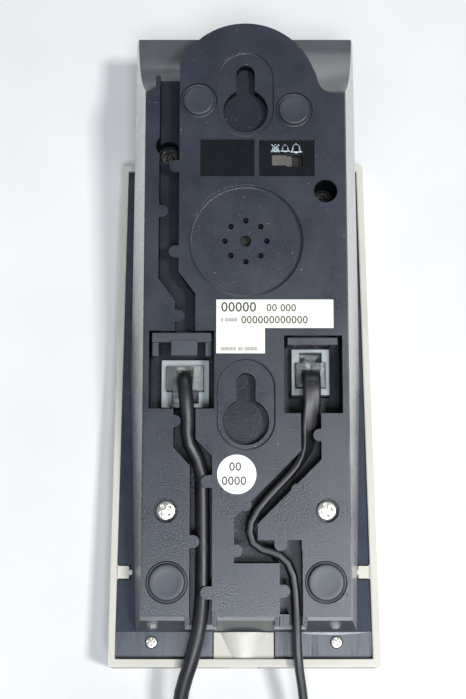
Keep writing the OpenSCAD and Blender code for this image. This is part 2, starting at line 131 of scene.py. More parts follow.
class Nodes:
    """A short way to write a material's nodes."""

    def __init__(self, name, base, rough, **sockets):
        self.mat = bpy.data.materials.new(name)
        self.mat.use_nodes = True
        self.tree = self.mat.node_tree
        self.shader = self.tree.nodes["Principled BSDF"]
        self.shader.inputs["Base Color"].default_value = (*base, 1)
        self.shader.inputs["Roughness"].default_value = rough
        for key, value in sockets.items():
            self.shader.inputs[key.replace("_", " ")].default_value = value
        coords = self.add("ShaderNodeTexCoord").outputs
        self.coord = coords["Object"]
        self.normal = coords["Normal"]

    def add(self, kind, **values):
        n = self.tree.nodes.new(kind)
        for key, value in values.items():
            setattr(n, key, value)
        return n

    def join(self, a, b):
        self.tree.links.new(a, b)

    def split(self, vector):
        """The X, Y and Z of vector."""
        s = self.add("ShaderNodeSeparateXYZ")
        self.join(vector, s.inputs[0])
        return s.outputs

    def noise(self, size, detail=2, rough=0.5, stretch=None):
        """Noise whose features are about size millimetres."""
        n = self.add("ShaderNodeTexNoise")
        n.inputs["Scale"].default_value = 1 / (size * MM)
        n.inputs["Detail"].default_value = detail
        n.inputs["Roughness"].default_value = rough
        c = self.coord
        if stretch:
            m = self.add("ShaderNodeMapping")
            m.inputs["Scale"].default_value = stretch
            self.join(c, m.inputs["Vector"])
            c = m.outputs["Vector"]
        self.join(c, n.inputs["Vector"])
        return n.outputs["Fac"]

    def ramp(self, fac, *stops):
        """A colour ramp over fac. Each stop is a place from 0 to 1 and a colour."""
        r = self.add("ShaderNodeValToRGB")
        e = r.color_ramp.elements
        while len(e) < len(stops):
            e.new(0.5)
        for item, (at, color) in zip(e, stops):
            item.position = at
            item.color = (*color, 1)
        self.join(fac, r.inputs["Fac"])
        return r.outputs["Color"]

    def bump(self, height, strength, distance, after=None):
        """Relief of distance millimetres, added to the normal that after gives."""
        b = self.add("ShaderNodeBump")
        b.inputs["Strength"].default_value = strength
        b.inputs["Distance"].default_value = distance * MM
        self.join(height, b.inputs["Height"])
        if after:
            self.join(after, b.inputs["Normal"])
        return b.outputs["Normal"]

    def mix(self, fac, a, b):
        m = self.add("ShaderNodeMix", data_type="RGBA")
        for value, socket in ((fac, m.inputs[0]), (a, m.inputs[6]), (b, m.inputs[7])):
            if isinstance(value, tuple):
                socket.default_value = (*value, 1)
            else:
                self.join(value, socket)
        return m.outputs[2]

    def math(self, op, a, b=None):
        m = self.add("ShaderNodeMath", operation=op)
        for value, socket in ((a, m.inputs[0]), (b, m.inputs[1])):
            if isinstance(value, (float, int)):
                socket.default_value = value
            elif value is not None:
                self.join(value, socket)
        return m.outputs[0]

    def out(self, color=None, rough=None, normal=None):
        for value, key in ((color, "Base Color"), (rough, "Roughness"), (normal, "Normal")):
            if value is not None:
                self.join(value, self.shader.inputs[key])
        return self.mat


def painted_pocket_shade(n, shallow, deepest):
    """Painted shade in pockets: 1 on the plastic's face, less between two depths in millimetres, and least on
    the walls of a pocket, where shade falls."""
    span = 10
    deep = n.math("MULTIPLY", n.split(n.coord)[1], -1 / (span * MM))
    floors = n.ramp(deep, (shallow / span, WHITE), (deepest / span, grey(0.58)))
    upright = n.ramp(n.math("ABSOLUTE", n.split(n.normal)[1]), (0.2, WHITE), (0.7, BLACK))
    within = n.ramp(deep, (0.03, BLACK), (0.12, grey(0.9)))
    return n.math("MULTIPLY", floors, n.math("SUBTRACT", 1.0, n.math("MULTIPLY", upright, within)))


def rim_steps(n, rims):
    """Rounded steps in the surface. Each of rims is its Z, the two ends of the upright line that it runs
    round, measured from there, and how far from that line it runs."""
    across, _, up = n.split(n.coord)
    step = None
    for z, low, high, away in rims:
        above = n.math("SUBTRACT", up, z * MM)
        inside = n.math("MINIMUM", n.math("MAXIMUM", above, low * MM), high * MM)
        past = n.math("SUBTRACT", above, inside)
        squares = n.math("ADD", n.math("MULTIPLY", past, past), n.math("MULTIPLY", across, across))
        near = n.math("DIVIDE", n.math("SQRT", squares), 2 * away * MM)
        lip = n.ramp(near, (0.478, BLACK), (0.503, WHITE))
        step = n.bump(lip, 1.0, away / 30, step)
    return step


def grained(name, dark, light, rough, grain=0.45, depth=0.05, strength=0.5, dust=0.0, sunk=None, rims=()):
    """Moulded plastic with a spark-eroded grain, faint cloudy marks and, with dust, pale specks.

    With sunk, pockets get painted shade: darker and duller between its two depths in millimetres, and darkest
    on their walls. rims is as in rim_steps.
    """
    n = Nodes(name, light, rough)
    cloud = n.noise(14, 4, 0.6)
    fine = n.noise(grain, 3, 0.65)
    peak = tuple(min(1, c * 1.45 + 0.01) for c in light)
    color = n.ramp(cloud, (0.3, dark), (0.7, light))
    color = n.mix(n.ramp(fine, (0.42, BLACK), (0.75, grey(0.32))), color, peak)
    if dust:
        specks = n.ramp(n.noise(0.7, 2, 0.4), (0.735, BLACK), (0.78, grey(dust)))
        color = n.mix(specks, color, (0.55, 0.55, 0.52))
    if sunk:
        # painted shade: pockets and their walls are mixed towards near-black and given less specular
        shade = painted_pocket_shade(n, *sunk)
        color = n.mix(shade, (0.002, 0.0025, 0.004), color)
        n.join(n.math("MULTIPLY", shade, 0.5), n.shader.inputs["Specular IOR Level"])
    r = n.ramp(cloud, (0.3, grey(rough - 0.06)), (0.7, grey(rough + 0.07)))
    return n.out(color, r, n.bump(fine, strength, depth, rim_steps(n, rims)))


def smooth_plastic(name, dark, light, rough, size=20, strength=0.12, **sockets):
    """Plain moulded plastic: slight clouds, fine scratches and a soft orange peel."""
    n = Nodes(name, light, rough, **sockets)
    cloud = n.noise(size, 4, 0.55)
    scratch = n.noise(0.6, 2, 0.5, stretch=(1, 1, 0.06))
    color = n.ramp(cloud, (0.3, dark), (0.7, light))
    r = n.ramp(n.math("MULTIPLY", cloud, scratch), (0.1, grey(rough + 0.1)), (0.45, grey(rough - 0.05)))
    return n.out(color, r, n.bump(n.noise(0.9, 3, 0.6), strength, 0.02))


def tub_material():
    """Grey plastic with painted light and shade: paler on the flaring flanks, painted as lit from the table
    beside them, and darker on the faces towards the rear, painted as shaded.
    """
    n = Nodes("tub_plastic", (0.09, 0.094, 0.1), 0.26, Specular_IOR_Level=0.75)
    cloud = n.noise(14, 4, 0.6)
    fine = n.noise(0.5, 3, 0.65)
    # painted light and shade: walls facing sideways take the paler, painted-lit colour, the rest the darker,
    # painted-shaded one
    flank = n.ramp(n.math("ABSOLUTE", n.split(n.normal)[0]), (0.5, BLACK), (0.9, WHITE))
    face = n.ramp(cloud, (0.3, (0.058, 0.061, 0.068)), (0.7, (0.076, 0.08, 0.088)))
    pale = n.ramp(cloud, (0.3, (0.24, 0.24, 0.245)), (0.7, (0.3, 0.3, 0.305)))
    rough = n.ramp(cloud, (0.3, grey(0.22)), (0.7, grey(0.32)))
    return n.out(n.mix(flank, face, pale), rough, n.bump(fine, 0.15, 0.02))


def metal(name, base, rough):
    """Plated metal with small dull spots."""
    n = Nodes(name, base, rough, Metallic=1.0)
    spots = n.noise(0.5, 3, 0.6)
    color = n.ramp(spots, (0.3, tuple(c * 0.7 for c in base)), (0.65, base))
    r = n.ramp(spots, (0.3, grey(rough + 0.2)), (0.7, grey(rough)))
    return n.out(color, r, n.bump(n.noise(0.15, 2), 0.15, 0.01))


def board_material():
    """Green laminate with faint raised tracks."""
    n = Nodes("board_laminate", (0.03, 0.2, 0.09), 0.35)
    tracks = n.ramp(n.noise(2.2, 1, 0.3), (0.47, BLACK), (0.5, WHITE), (0.53, BLACK))
    return n.out(n.mix(tracks, (0.025, 0.17, 0.08), (0.05, 0.3, 0.12)), None, n.bump(tracks, 0.2, 0.03))


def cord_material():
    """Black vinyl with the faint ripple of its extrusion."""
    n = Nodes("cord_jacket", (0.008, 0.008, 0.01), 0.24, Specular_IOR_Level=0.55)
    scuff = n.noise(5, 4, 0.6)
    ripple = n.noise(2.4, 2, 0.5)
    return n.out(n.ramp(scuff, (0.3, (0.006, 0.0065, 0.009)), (0.75, (0.014, 0.015, 0.02))),
                 n.ramp(scuff, (0.3, grey(0.38)), (0.75, grey(0.55))), n.bump(ripple, 0.1, 0.08))


def clear_material():
    """Clear polycarbonate, a little cloudy inside."""
    n = Nodes("clear_plastic", (0.8, 0.83, 0.82), 0.12, IOR=1.46, Transmission_Weight=0.9)
    haze = n.noise(3, 4, 0.6)
    return n.out(n.ramp(haze, (0.3, (0.75, 0.8, 0.8)), (0.7, (0.93, 0.95, 0.95))),
                 n.ramp(haze, (0.3, grey(0.06)), (0.7, grey(0.2))), n.bump(n.noise(1.2, 2), 0.12, 0.03))


def paper(name, light, dark):
    """Printed film with fine fibres and soft smudges."""
    n = Nodes(name, light, 0.42)
    fibre = n.noise(0.8, 5, 0.7)
    smudge = n.noise(6, 4, 0.6)
    color = n.mix(n.ramp(smudge, (0.5, BLACK), (0.85, grey(0.45))), light, dark)
    return n.out(color, n.ramp(fibre, (0.3, grey(0.35)), (0.7, grey(0.5))), n.bump(fibre, 0.15, 0.02))


KEYHOLE_RIMS = tuple((z, KEYHOLE_LOW, KEYHOLE_HIGH, KEYHOLE_HALF) for z in (KEYHOLE_Z, -KEYHOLE_Z))
# The plate's pockets get painted shade between 1 and 4.5 mm deep (sunk).
plate_mat = grained("plate_plastic", (0.0135, 0.017, 0.027), (0.02, 0.0245, 0.038), 0.3, grain=0.38,
                    depth=0.065, strength=0.9, dust=0.45, sunk=(1.0, 4.5),
                    rims=((GRILLE_Z, 0, 0, GRILLE_R), *KEYHOLE_RIMS))
clip_mat = grained("clip_plastic", (0.03, 0.034, 0.046), (0.042, 0.047, 0.063), 0.42, strength=0.35)
tub_mat = tub_material()
ivory_mat = smooth_plastic("ivory_plastic", (0.48, 0.468, 0.415), (0.55, 0.538, 0.478), 0.36)
liner_mat = smooth_plastic("liner_plastic", (0.024, 0.03, 0.044), (0.04, 0.05, 0.072), 0.2, size=6)
window_mat = smooth_plastic("window_film", (0.003, 0.004, 0.006), (0.007, 0.009, 0.012), 0.16, size=5,
                            Specular_IOR_Level=0.35)
foot_mat = grained("foot_rubber", (0.018, 0.022, 0.032), (0.03, 0.036, 0.05), 0.38, grain=0.3, strength=0.3)
jack_mat = smooth_plastic("jack_plastic", (0.23, 0.26, 0.27), (0.32, 0.36, 0.37), 0.4, size=5)
black_mat = smooth_plastic("black_plastic", (0.008, 0.008, 0.009), (0.016, 0.016, 0.018), 0.33)
ringer_mat = grained("ringer_plastic", (0.006, 0.0065, 0.004), (0.012, 0.013, 0.008), 0.75)
slider_mat = smooth_plastic("slider_plastic", (0.055, 0.052, 0.046), (0.1, 0.094, 0.085), 0.4, size=3)
key_mat = smooth_plastic("key_plastic", (0.6, 0.58, 0.5), (0.68, 0.66, 0.58), 0.42)
rubber_mat = smooth_plastic("mat_rubber", (0.35, 0.35, 0.34), (0.42, 0.42, 0.4), 0.6)
tie_mat = smooth_plastic("tie_plastic", (0.02, 0.02, 0.022), (0.035, 0.035, 0.038), 0.45)
screw_mat = metal("plated_screw", (0.83, 0.81, 0.76), 0.24)
# The deep screws are plated like the others; their dark base is painted shade, for the shadow deep in their
# holes.
painted_shade_screw_mat = metal("dark_screw", (0.12, 0.12, 0.115), 0.4)
gold_mat = metal("gold_contact", (0.9, 0.66, 0.3), 0.22)
board_mat = board_material()
cord_mat = cord_material()
clear_mat = clear_material()
label_mat = paper("label_paper", (0.77, 0.76, 0.66), (0.68, 0.66, 0.56))
sticker_mat = paper("sticker_paper", (0.83, 0.84, 0.84), (0.74, 0.75, 0.75))
print_mat = smooth_plastic("print_ink", (0.03, 0.03, 0.035), (0.05, 0.05, 0.055), 0.5)
icon_mat = smooth_plastic("icon_ink", (0.45, 0.55, 0.62), (0.58, 0.68, 0.74), 0.5)

NODE_MATERIALS = {
    "back_plate": plate_mat, "jack_clips": clip_mat, "base_tub": tub_mat, "rubber_feet": foot_mat,
    "plate_screws": screw_mat, "deep_screws": painted_shade_screw_mat, "line_jack": jack_mat, "handset_jack": jack_mat,
    "jack_contacts": gold_mat, "line_plug": clear_mat, "handset_plug": clear_mat, "line_cord": cord_mat,
    "line_cord_coil": cord_mat, "line_end_plug": clear_mat, "handset_cord": cord_mat,
    "handset_cord_coil": cord_mat, "handset_end_plug": clear_mat, "cord_ties": tie_mat,
    "serial_label": label_mat, "inspection_sticker": sticker_mat, "switch_body": black_mat,
    "volume_slider": slider_mat, "ringer": ringer_mat, "circuit_board": board_mat, "hook_plunger": tub_mat,
    "handset_shell": ivory_mat, "handset_liner": liner_mat, "socket_cover": ivory_mat,
    "shell_screws": screw_mat, "earpiece": black_mat, "microphone": screw_mat, "handset_board": board_mat,
    "keypad_mat": rubber_mat, "handset_socket": black_mat,
}
NODE_ROUNDING = {
    "back_plate": 0.3, "jack_clips": 0.18, "base_tub": 0.45, "line_jack": 0.2, "handset_jack": 0.2,
    "handset_shell": 0.9, "handset_liner": 0.25, "socket_cover": 0.3, "volume_slider": 0.15,
    "hook_plunger": 0.4, "serial_label": 0.04, "switch_body": 0.2, "cord_ties": 0.2,
}
KEY_ROUNDING = 0.6


def rounded(obj, width):
    """A weld, then a bevel, so that the node's hard edges catch the light. Its own mesh stays as it is."""
    weld = obj.modifiers.new("weld", "WELD")
    weld.merge_threshold = 1e-6
    bevel(obj, width)


for name, obj in nodes.items():
    obj.data.materials.clear()
    obj.data.materials.append(NODE_MATERIALS.get(name, key_mat))
    width = KEY_ROUNDING if name.startswith("key_") else NODE_ROUNDING.get(name)
    if width:
        rounded(obj, width)

# ---------------------------------------------------------------- cords
LEAN = math.radians(COIL_LEAN)
AXIS = Vector((0, math.cos(LEAN), math.sin(LEAN)))
UP = Vector((0, -math.sin(LEAN), math.cos(LEAN)))
TURN_POINTS = 28
LAST_PART = 0.125  # of a turn, which brings a coil to the place where its tail leaves
line_route = [
    (15.95, -8, -29.6), (15.95, -5.5, -29.7), (15.9, -3.2, -30.4), (15.8, -1.6, -32), (15.6, -0.9, -34.4),
    (15.3, -0.9, -37), (14.95, -1.5, -40.5), (15, -2.4, -44), (14.6, -3.2, -47), (12.6, -3.7, -50.8),
    (11.5, -3.8, -54.5), (11.3, -3.8, -59), (11.2, -3.8, -66), (11.1, -3.8, -74), (11.1, -3.7, -80),
    (11.2, -3.4, -86), (11.6, -2.9, -91), (12.4, -2.4, -96), (14, -2.9, -102), (16.2, -4.4, -109),
    (16.9, -6.2, -117), (15.6, -7.6, -125), (13.6, -8, -133), (12.1, -7.6, -141), (11.8, -6.6, -149)]
line_tail = [
    (28.5, -8, -167), (32, -8.6, -171.4), (35.6, -8.8, -177), (39.8, -8.8, -183), (45.4, -8.4, -187.6),
    (51.5, -8, -190.3), (57, -7.7, -191), (61, -7.6, -191)]
# The flat cord's last two values are the X and Y of its wide side's direction.
flat_route = [
    (-17.1, -8, -28.7, 1, 0), (-17.1, -5.4, -28.8, 1, 0), (-17.1, -3.3, -29.6, 1, 0),
    (-17.1, -2.2, -31.3, 1, 0), (-17.1, -2, -33.5, 1, 0), (-17.1, -2.2, -36, 1, 0.05),
    (-16.8, -2.9, -39, 1, 0.2), (-16.3, -3.5, -43, 1, 0.45), (-15.6, -3.7, -48, 0.7, 1),
    (-13.2, -3.8, -52.6, 0, 1), (-9.4, -3.8, -56.7, 0, 1), (-5.9, -3.8, -60.4, 0, 1),
    (-2.9, -3.8, -64, 0, 1), (-1.2, -3.8, -67, 0, 1), (-0.9, -3.8, -69.6, 0, 1),
    (-1.8, -3.8, -72.3, 0, 1), (-4.2, -3.8, -73.9, 0, 1), (-6.6, -3.8, -74.5, 0, 1),
    (-8.7, -3.8, -75.4, 0, 1), (-10.6, -3.8, -77.3, 0, 1), (-11.9, -3.8, -80.4, 0, 1),
    (-12.4, -3.8, -84, 0, 1), (-12.6, -3.7, -88, 0, 1), (-12.8, -3.5, -93, 0, 1),
    (-12.9, -3.6, -98, 0, 1), (-13.4, -4.3, -104, 0, 1), (-14.4, -5.8, -111, 0, 1),
    (-14.6, -7.6, -119, 0, 1), (-13.8, -8.8, -127, 0, 1), (-12.3, -9, -135, 0, 1),
    (-11, -8.8, -143, 0, 1), (-10.7, -8.5, -149, 0, 1)]
flat_tail = [
    (-27, -8.9, -168.6, 0, 1), (-31, -8.8, -173, 0, 1), (-35.4, -8.8, -178.6, 0.3, 1),
    (-40.2, -8.8, -184, 0.5, 0.5), (-45.6, -8.4, -188, 0.5, 0.2), (-51.5, -8, -190.7, 0.2, 0),
    (-57, -7.7, -191, 0, 0), (-61, -7.6, -191, 0, 0)]


def between(value, low=0, high=1):
    return min(max(value, low), high)


def coil_points(centre, radius, side, deep, high, columns, rows, turns, seed):
    """Points of a coil that starts beside the centre, on the side away from +X times side, outermost and on
    top, and winds through its columns and rows, one turn for each place, changing place in the last part of
    each turn."""
    shift_from = 0.8  # the part of a turn after which the cord moves to its next place
    stray_out, stray_along = deep * 0.09, high * 0.06
    rng = random.Random(seed)
    places = []
    for c in range(columns):
        order = range(rows) if c % 2 == 0 else reversed(range(rows))
        places += [((columns - 1) / 2 * deep - c * deep, (rows - 1) / 2 * high - r * high) for r in order]
    strays = [(rng.uniform(-1, 1), rng.uniform(-1, 1), rng.uniform(0, 6.28)) for _ in range(len(places) + 1)]
    last = len(places) - 1
    total = round((turns + LAST_PART) * TURN_POINTS)
    out = []
    for k in range(total + 1):
        turn, part = divmod(k / TURN_POINTS, 1)
        i = min(int(turn), last)
        j = min(i + 1, last)
        shift = between((part - shift_from) / (1 - shift_from))
        shift = shift * shift * (3 - 2 * shift)
        if k > total - TURN_POINTS * LAST_PART:
            i = j = min(int(turns), last)
        outwards, along, phase = strays[i]
        ease = math.sin(math.pi * part) ** 2
        reach = radius + places[i][0] + (places[j][0] - places[i][0]) * shift
        reach += stray_out * outwards * ease * math.sin(4 * math.pi * part + phase)
        axial = places[i][1] + (places[j][1] - places[i][1]) * shift + stray_along * along * ease
        a = math.pi + 2 * math.pi * k / TURN_POINTS
        sideways = Vector((side, 0, 0)) * reach * math.cos(a)
        out.append(centre + sideways + UP * reach * math.sin(a) + AXIS * axial)
    return out


def smooth_path(points, step):
    """Catmull-Rom through points, about step metres apart."""
    out = []
    for i in range(len(points) - 1):
        p0, p1 = points[max(i - 1, 0)], points[i]
        p2, p3 = points[i + 1], points[min(i + 2, len(points) - 1)]
        n = max(1, round((p2 - p1).length / step))
        for k in range(n):
            t = k / n
            out.append(0.5 * ((2 * p1) + (p2 - p0) * t + (2 * p0 - 5 * p1 + 4 * p2 - p3) * t * t
                              + (3 * p1 - p0 - 3 * p2 + p3) * t ** 3))
    return out + [points[-1]]


def cord_path(route, turns, tail):
    """A cord's whole centre line: its route, its coil and its tail, joined where they meet."""
    start = [mm(*p[:3]) for p in route]
    end = [mm(*p[:3]) for p in tail[1:]]
    return smooth_path(start + turns[1:-2] + end, CORD_STEP * MM)


line_turns = coil_points(mm(*LINE_COIL), LINE_COIL_R * MM, 1, LINE_D * MM, LINE_D * MM, 4, 3, 12, seed=3)
line_points = cord_path(line_route, line_turns, line_tail)
flat_turns = coil_points(mm(*FLAT_COIL), FLAT_COIL_R * MM, -1, FLAT_T * MM, FLAT_W * MM, 6, 2, 11, seed=5)
flat_points = cord_path(flat_route, flat_turns, flat_tail)


def tube_mesh(name, path, section, material, sides=None):
    """A closed tube along path. section is a list of (across, through) corners, and sides the across
    direction at each point; without it that direction is carried along with the least twist."""
    bm = bmesh.new()
    rings = []
    across = Vector((1, 0.01, 0.2))
    for i, p in enumerate(path):
        t = (path[min(i + 1, len(path) - 1)] - path[max(i - 1, 0)]).normalized()
        want = sides[i] if sides else across
        across = (want - t * want.dot(t)).normalized()
        through = t.cross(across)
        rings.append([bm.verts.new(p + across * a + through * b) for a, b in section])
    n = len(section)
    for r, s in zip(rings, rings[1:]):
        for k in range(n):
            bm.faces.new((r[k], r[(k + 1) % n], s[(k + 1) % n], s[k]))
    bm.faces.new(list(reversed(rings[0])))
    bm.faces.new(rings[-1])
    bmesh.ops.recalc_face_normals(bm, faces=bm.faces)
    return mesh_object(name, bm, material)


def round_section(diameter, n=16):
    angles = [2 * math.pi * k / n for k in range(n)]
    return [(diameter / 2 * math.cos(a), diameter / 2 * math.sin(a)) for a in angles]


def ribbon_section(w, t, n=32):
    """Corners of a flat cord's rounded section, with three shallow grooves between its wires on each side."""
    squareness, groove, groove_width = 3.4, 0.07, 0.1
    out = []
    for k in range(n):
        a = 2 * math.pi * (k + 0.5) / n
        c, s = math.cos(a), math.sin(a)
        x = math.copysign(abs(c) ** (2 / squareness), c)
        y = math.copysign(abs(s) ** (2 / squareness), s)
        dent = groove * sum(math.exp(-((x - g) / groove_width) ** 2) for g in (-0.5, 0, 0.5))
        out.append((w / 2 * x, t / 2 * y * (1 - dent)))
    return out


def known_sides(route):
    """The points of a flat route, each with its wide side's direction, which is upright where it is hardly
    sideways."""
    found = []
    for x, y, z, side_x, side_y in route:
        upright = 1 if side_x + side_y < 0.8 else 0
        found.append((mm(x, y, z), Vector((side_x, side_y, 0.01 + upright)).normalized()))
    return found


def flat_sides(path):
    """The across direction of the flat cord at each point of path: the coil's axis, or between the two
    nearest known ones on the route and the tail, and then evened out over five points."""
    start, end = known_sides(flat_route), known_sides(flat_tail)
    tail_points, tail_margin = 60, 2 * MM
    n = len(path)
    found = []
    for i, p in enumerate(path):
        if p.z > start[-1][0].z and i < n / 2:
            group = start
        elif i > n - tail_points and p.z < end[1][0].z + tail_margin:
            group = end
        else:
            found.append(AXIS.copy())
            continue
        (p0, side0), (p1, side1) = sorted(group, key=lambda item: (item[0] - p).length)[:2]
        found.append((side0 * (p1 - p).length + side1 * (p0 - p).length).normalized())
    return [sum(found[max(0, i - 2):i + 3], Vector((0, 0, 0))).normalized() for i in range(n)]


line = tube_mesh("line_cord_jacket", line_points, round_section(LINE_D * MM), cord_mat)
flat = tube_mesh("handset_cord_jacket", flat_points, ribbon_section(FLAT_W * MM, FLAT_T * MM), cord_mat,
                 flat_sides(flat_points))
for obj, cad in ((line, ("line_cord", "line_cord_coil")), (flat, ("handset_cord", "handset_cord_coil"))):
    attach(obj, "base")
    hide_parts(*cad)

# ---------------------------------------------------------------- clear plugs


def box(bm, x0, x1, y0, y1, z0, z1):
    """Adds a box given in millimetres to bm."""
    made = bmesh.ops.create_cube(bm, size=1)["verts"]
    bmesh.ops.scale(bm, vec=((x1 - x0) * MM, (y1 - y0) * MM, (z1 - z0) * MM), verts=made)
    bmesh.ops.translate(bm, vec=mm((x0 + x1) / 2, (y0 + y1) / 2, (z0 + z1) / 2), verts=made)


def join_boxes(name, boxes, material, round_mm):
    """One object made of boxes, with edges rounded by round_mm millimetres."""
    bm = bmesh.new()
    for b in boxes:
        box(bm, *b)
    return bevel(mesh_object(name, bm, material, smooth=False), round_mm)


def plug_pieces(name, place, latch, w, ways, mouth_w, mouth_h):
    """A modular plug in its own frame: it points to +Y from its cord end at Y = 0, its height is Z and its
    contacts are on the side away from the latch, which is +1 or -1. place is the matrix that puts it where
    the CAD plug is."""
    h, mouth, end = 3.2, 3.2, 6  # half its height, the depth of the cord's opening, its length
    pitch, half_wire, wire_z = 1.02, 0.17, -latch * 3.05
    body = [(-w / 2, w / 2, mouth, end, -h, h),
            (-w / 2, -mouth_w / 2, 0, mouth, -h, h), (mouth_w / 2, w / 2, 0, mouth, -h, h),
            (-mouth_w / 2, mouth_w / 2, 0, mouth, mouth_h / 2, h),
            (-mouth_w / 2, mouth_w / 2, 0, mouth, -h, -mouth_h / 2)]
    tongue = (-1.6, 1.6, -1.2, 4.3, *sorted((latch * 4.1, latch * 4.9)))
    root = (-1.6, 1.6, 4.2, 5.4, *sorted((latch * 3.0, latch * 4.9)))
    wires = []
    for i in range(ways):
        x = (i - (ways - 1) / 2) * pitch
        wires.append((x - half_wire, x + half_wire, 4.6, 5.7, wire_z - 0.12, wire_z + 0.12))
        wires.append((x - half_wire, x + half_wire, 5.45, 5.7, *sorted((0, -latch * 3.0))))
    made = [join_boxes(name + "_shell", body, clear_mat, 0.12),
            join_boxes(name + "_latch", [tongue, root], clear_mat, 0.15),
            join_boxes(name + "_contacts", wires, gold_mat, 0.05)]
    for obj in made:
        obj.matrix_world = place
    return made


def rear_plug(x, z):
    """The place of a plug in one of the base's jacks, pointing to the front."""
    return Matrix.Translation(mm(x, -PLUG_DEEP, z)) @ Matrix.Rotation(math.pi, 4, "Z")


def far_plug(side):
    """The place of a plug at a cord's far end, on the side of +X times side, pointing away from the coil."""
    turn = Matrix.Rotation(-side * math.pi / 2, 4, "Z")
    roll = Matrix.Rotation(side * math.pi / 2, 4, "Y")
    return Matrix.Translation(mm(side * END_PLUG_X, END_PLUG_Y, END_PLUG_Z)) @ turn @ roll


line_plug = plug_pieces("line_plug", rear_plug(LINE_JACK_X, LINE_JACK_Z), -1, **SIX_WAYS)
hand_plug = plug_pieces("handset_plug", rear_plug(HAND_JACK_X, HAND_JACK_Z), 1, **FOUR_WAYS)
line_end = plug_pieces("line_end", far_plug(1), 1, **SIX_WAYS)
hand_end = plug_pieces("handset_end", far_plug(-1), 1, **FOUR_WAYS)
for made, cad in ((line_plug, "line_plug"), (hand_plug, "handset_plug"), (line_end, "line_end_plug"),
                  (hand_end, "handset_end_plug")):
    for obj in made:
        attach(obj, "base")
    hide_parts(cad)

# ---------------------------------------------------------------- screws and feet
TO_REAR = Matrix(((-1, 0, 0, 0), (0, 0, 1, 0), (0, 1, 0, 0), (0, 0, 0, 1)))
HANDSET = Matrix.Translation(mm(*HANDSET_AT)) @ Matrix.Rotation(math.radians(HANDSET_LEAN), 4, "X")


def facing_rear(x, y, z):
    """The place of a form whose top faces the rear, in millimetres."""
    return Matrix.Translation(mm(x, y, z)) @ TO_REAR


def spun(bm, place, profile, segments, height=None):
    """Adds a turned form to bm. profile is a list of (radius, height) in millimetres from the centre of its
    top down its side, place a matrix whose Z is the form's axis, and height a function of (x, y, h) that may
    sink a point."""
    rings = []
    for r, h in profile:
        count = segments if r else 1
        ring = []
        for k in range(count):
            a = 2 * math.pi * k / count
            x, y = r * math.cos(a), r * math.sin(a)
            ring.append(bm.verts.new(place @ mm(x, y, height(x, y, h) if height else h)))
        rings.append(ring)
    for r, s in zip(rings, rings[1:]):
        for k in range(segments):
            j = (k + 1) % segments
            if len(r) == 1:
                bm.faces.new((r[0], s[k], s[j]))
            else:
                bm.faces.new((r[k], s[k], s[j], r[j]))
    bm.faces.new(list(reversed(rings[-1])))


def cross_head(radius, slot, turn):
    """A height function for a screw's cross recess, slot millimetres deep, turned by turn degrees."""
    c, s = math.cos(math.radians(turn)), math.sin(math.radians(turn))
    arm, wide = radius * 0.62, radius * 0.13
    arm_end = arm * 1.08

    def height(x, y, h):
        u, v = abs(x * c + y * s), abs(y * c - x * s)
        depth = 0
        for p, q in ((u, v), (v, u)):
            if p < arm_end:
                flank = between((wide * 1.5 - q) / (wide * 0.7))
                tip = between((arm_end - p) / (arm * 0.3))
                depth = max(depth, flank * tip)
        return h - slot * depth
    return height


def screw_heads(name, places, turns, material, radius, dome, rim, shank_r, shank, slot):
    """Pan heads with cross recesses, each with its shank, in one mesh."""
    bm = bmesh.new()
    steps = 22
    top = [(radius * 0.96 * k / steps, dome * (1 - (k / steps) ** 2)) for k in range(steps + 1)]
    profile = top + [(radius, -0.12), (radius, -rim), (shank_r, -rim), (shank_r, -rim - shank)]
    for place, turn in zip(places, turns):
        spun(bm, place, profile, 96, cross_head(radius, slot, turn))
    bmesh.ops.recalc_face_normals(bm, faces=bm.faces)
    return mesh_object(name, bm, material)


def finish_piece(obj, body, slot, *cad):
    """Says which body obj rides and which CAD nodes it replaces. slot is not used."""
    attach(obj, body)
    if cad:
        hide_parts(*cad)


plate_places = [facing_rear(s * PLATE_SCREW_X, -0.65, PLATE_SCREW_Z) for s in (1, -1)]
deep_places = [facing_rear(x, -9.6, z) for x, z in DEEP_SCREWS]
shell_places = [HANDSET @ facing_rear(s * SHELL_SCREW_X, -1.05, SHELL_SCREW_Z) for s in (1, -1)]
plate_screws = screw_heads("plate_screw_heads", plate_places, (38, 12), screw_mat,
                           radius=2.42, dome=0.35, rim=0.9, shank_r=1, shank=7.4, slot=0.75)
# The deep screws' heads take the dark, painted-shade steel.
deep_screws = screw_heads("deep_screw_heads", deep_places, (5, 60), painted_shade_screw_mat,
                          radius=2.45, dome=0.3, rim=0.95, shank_r=1, shank=5, slot=0.75)
shell_screws = screw_heads("shell_screw_heads", shell_places, (2, 8), screw_mat,
                           radius=1.42, dome=0.15, rim=0.75, shank_r=0.75, shank=5, slot=0.5)
finish_piece(plate_screws, "base", "plated_screw", "plate_screws")
finish_piece(deep_screws, "base", "plated_screw", "deep_screws")
finish_piece(shell_screws, "handset", "plated_screw", "shell_screws")


def foot_profile(r):
    """A foot's slightly hollow top, its rounded edge, and the moulded lip of its seat."""
    edge_r, edge_z, edge_steps = 0.45, 0.25, 6
    angles = [math.pi / 2 * k / edge_steps for k in range(edge_steps + 1)]
    edge = [(r - edge_r + edge_r * math.sin(a), edge_z + edge_r * math.cos(a)) for a in angles]
    seat = ((0.12, -0.42), (0.22, -0.3), (0.38, -0.24), (0.55, -0.3), (0.66, -0.45), (0.66, -0.8))
    lip = [(r + out, z) for out, z in seat]
    return [(0, 0.58), (r * 0.4, 0.59), (r * 0.7, 0.63)] + edge + [(r, -0.35)] + lip


